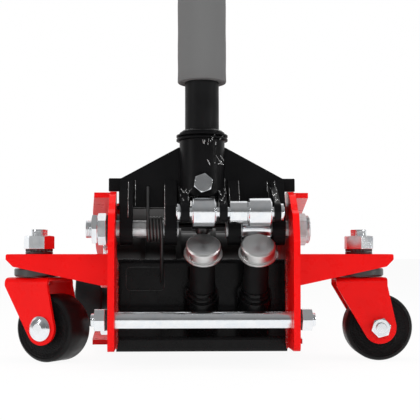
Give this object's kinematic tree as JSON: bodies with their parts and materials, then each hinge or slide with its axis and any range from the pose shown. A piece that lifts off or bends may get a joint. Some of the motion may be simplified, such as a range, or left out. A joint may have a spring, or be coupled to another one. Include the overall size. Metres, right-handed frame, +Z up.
{
  "type": "floor jack",
  "caption": "Low trolley jack with a red welded chassis, swivelling rear casters, pumps worked by a long leaning handle, and a lift arm whose saddle stays level.",
  "frame": {"origin": "on the floor, under the centre of the whole part's outline with the casters as they stand", "axes": "+Z up, +Y forward from the handle to the saddle, +X to the right when seen from behind the handle"},
  "size_m": [0.3983, 0.645, 1.19],
  "materials": {
    "red_paint": "glossy red enamel over welded steel",
    "zinc": "bright zinc plating",
    "machined_steel": "turned steel, satin",
    "black_oxide": "black oxide",
    "black_enamel": "glossy black enamel over cast and welded steel",
    "wheel_black": "black painted casting",
    "grey_foam": "grey closed-cell foam",
    "grip_rubber": "black rubber",
    "spring_steel": "dark oiled spring wire"
  },
  "bodies": {
    "frame": {"left_side_plate": "red_paint", "right_side_plate": "red_paint", "left_outrigger": "red_paint", "right_outrigger": "red_paint", "rear_tie_rod": "zinc", "tie_rod_nuts": "zinc", "frame_washers": "black_oxide", "front_axle": "zinc", "snap_rings": "zinc", "top_cover": "black_enamel", "cover_screws": "zinc", "pivot_bolts": "zinc", "pivot_nuts": "zinc", "arm_shaft": "zinc", "link_anchor_bolts": "zinc", "caster_stems": "zinc", "caster_stem_nuts": "zinc", "caster_races": "black_oxide", "power_block": "black_enamel", "block_bolts": "zinc", "reservoir": "black_enamel", "filler_plug": "grip_rubber", "gland_nut": "machined_steel"},
    "yoke": {"handle_yoke": "black_enamel", "clamp_bolt": "zinc", "roller_shaft": "zinc", "yoke_spacers": "zinc", "handle_spring": "spring_steel"},
    "left_roller": {"left_roller": "zinc"},
    "right_roller": {"right_roller": "zinc"},
    "handle": {"lower_handle_tube": "black_enamel", "upper_handle_tube": "black_enamel", "foam_sleeve": "grey_foam", "hand_grip": "grip_rubber", "handle_button": "zinc", "release_cup": "black_enamel"},
    "release_valve": {"release_valve": "machined_steel"},
    "main_piston": {"main_pump_piston": "machined_steel", "main_pump_barrel": "black_enamel", "main_pump_spring": "spring_steel"},
    "second_piston": {"second_pump_piston": "machined_steel", "second_pump_barrel": "black_enamel", "second_pump_spring": "spring_steel"},
    "arm": {"lift_arm": "black_enamel", "ram_pin": "zinc", "knuckle_pin": "zinc", "return_springs": "spring_steel"},
    "ram": {"ram": "machined_steel"},
    "knuckle": {"saddle_knuckle": "black_enamel", "link_bolts": "zinc"},
    "saddle": {"saddle": "black_enamel"},
    "links": {"level_links": "black_enamel"},
    "left_front_wheel": {"left_front_wheel": "wheel_black"},
    "right_front_wheel": {"right_front_wheel": "wheel_black"},
    "left_caster": {"left_caster_fork": "red_paint", "left_caster_axle": "zinc"},
    "right_caster": {"right_caster_fork": "red_paint", "right_caster_axle": "zinc"},
    "left_caster_wheel": {"left_caster_wheel": "wheel_black"},
    "right_caster_wheel": {"right_caster_wheel": "wheel_black"}
  },
  "joints": [
    {"name": "handle_pump", "type": "hinge", "parent": "frame", "child": "yoke", "pos_m": [-0.00868, -0.2725, 0.1269], "axis": [1, 0, 0], "range_deg": [0, 60], "stiffness_Nm_per_rad": 2.8, "springref_deg": -89.95, "deforming": ["handle_spring"]},
    {"name": "handle_twist", "type": "hinge", "parent": "yoke", "child": "handle", "pos_m": [-0.00868, -0.2725, 0.1269], "axis": [0, 0.0698, 0.9976], "range_deg": [0, 180]},
    {"name": "valve_turn", "type": "hinge", "parent": "frame", "child": "release_valve", "pos_m": [-0.00868, -0.2725, 0.1269], "axis": [0, -0.6691, 0.7431], "range_deg": [0, 180]},
    {"name": "left_roller_spin", "type": "hinge", "parent": "yoke", "child": "left_roller", "pos_m": [-0.00868, -0.30755, 0.14178], "axis": [1, 0, 0], "continuous": true},
    {"name": "right_roller_spin", "type": "hinge", "parent": "yoke", "child": "right_roller", "pos_m": [-0.00868, -0.30755, 0.14178], "axis": [1, 0, 0], "continuous": true},
    {"name": "main_pump_stroke", "type": "slide", "parent": "frame", "child": "main_piston", "axis": [0, 0.6691, -0.7431], "range_m": [0, 0.0186], "deforming": ["main_pump_spring"]},
    {"name": "second_pump_stroke", "type": "slide", "parent": "frame", "child": "second_piston", "axis": [0, 0.6691, -0.7431], "range_m": [0, 0.0186], "deforming": ["second_pump_spring"]},
    {"name": "arm_lift", "type": "hinge", "parent": "frame", "child": "arm", "pos_m": [-0.00868, -0.0725, 0.1096], "axis": [1, 0, 0], "range_deg": [0, 70], "deforming": ["return_springs"]},
    {"name": "ram_stroke", "type": "slide", "parent": "frame", "child": "ram", "axis": [0, 1, 0], "range_m": [0, 0.07132]},
    {"name": "knuckle_level", "type": "hinge", "parent": "arm", "child": "knuckle", "pos_m": [-0.00868, 0.2075, 0.0576], "axis": [1, 0, 0], "range_deg": [-71, 0]},
    {"name": "link_swing", "type": "hinge", "parent": "frame", "child": "links", "pos_m": [-0.00868, -0.05924, 0.08048], "axis": [1, 0, 0], "range_deg": [0, 71]},
    {"name": "saddle_spin", "type": "hinge", "parent": "knuckle", "child": "saddle", "pos_m": [-0.00868, 0.2355, 0.0776], "axis": [0, 0, 1], "continuous": true},
    {"name": "left_front_wheel_spin", "type": "hinge", "parent": "frame", "child": "left_front_wheel", "pos_m": [-0.00868, 0.2825, 0.04], "axis": [1, 0, 0], "continuous": true},
    {"name": "right_front_wheel_spin", "type": "hinge", "parent": "frame", "child": "right_front_wheel", "pos_m": [-0.00868, 0.2825, 0.04], "axis": [1, 0, 0], "continuous": true},
    {"name": "left_caster_swivel", "type": "hinge", "parent": "frame", "child": "left_caster", "pos_m": [-0.16628, -0.2135, 0.081], "axis": [0, 0, 1], "continuous": true},
    {"name": "right_caster_swivel", "type": "hinge", "parent": "frame", "child": "right_caster", "pos_m": [0.14893, -0.2135, 0.081], "axis": [0, 0, 1], "continuous": true},
    {"name": "left_caster_roll", "type": "hinge", "parent": "left_caster", "child": "left_caster_wheel", "pos_m": [-0.15112, -0.22225, 0.0325], "axis": [0.5, 0.866, 0], "continuous": true},
    {"name": "right_caster_roll", "type": "hinge", "parent": "right_caster", "child": "right_caster_wheel", "pos_m": [0.16641, -0.2142, 0.0325], "axis": [0.0401, 0.9992, 0], "continuous": true}
  ],
  "couplings": [
    {"joint": "valve_turn", "follows": "handle_twist", "ratio": 1},
    {"joint": "main_pump_stroke", "follows": "handle_pump", "m_per_rad": 0.017666},
    {"joint": "second_pump_stroke", "follows": "handle_pump", "m_per_rad": 0.017666},
    {"joint": "ram_stroke", "follows": "arm_lift", "m_per_rad": 0.058215},
    {"joint": "knuckle_level", "follows": "arm_lift", "ratio": -1},
    {"joint": "link_swing", "follows": "arm_lift", "ratio": 1}
  ]
}
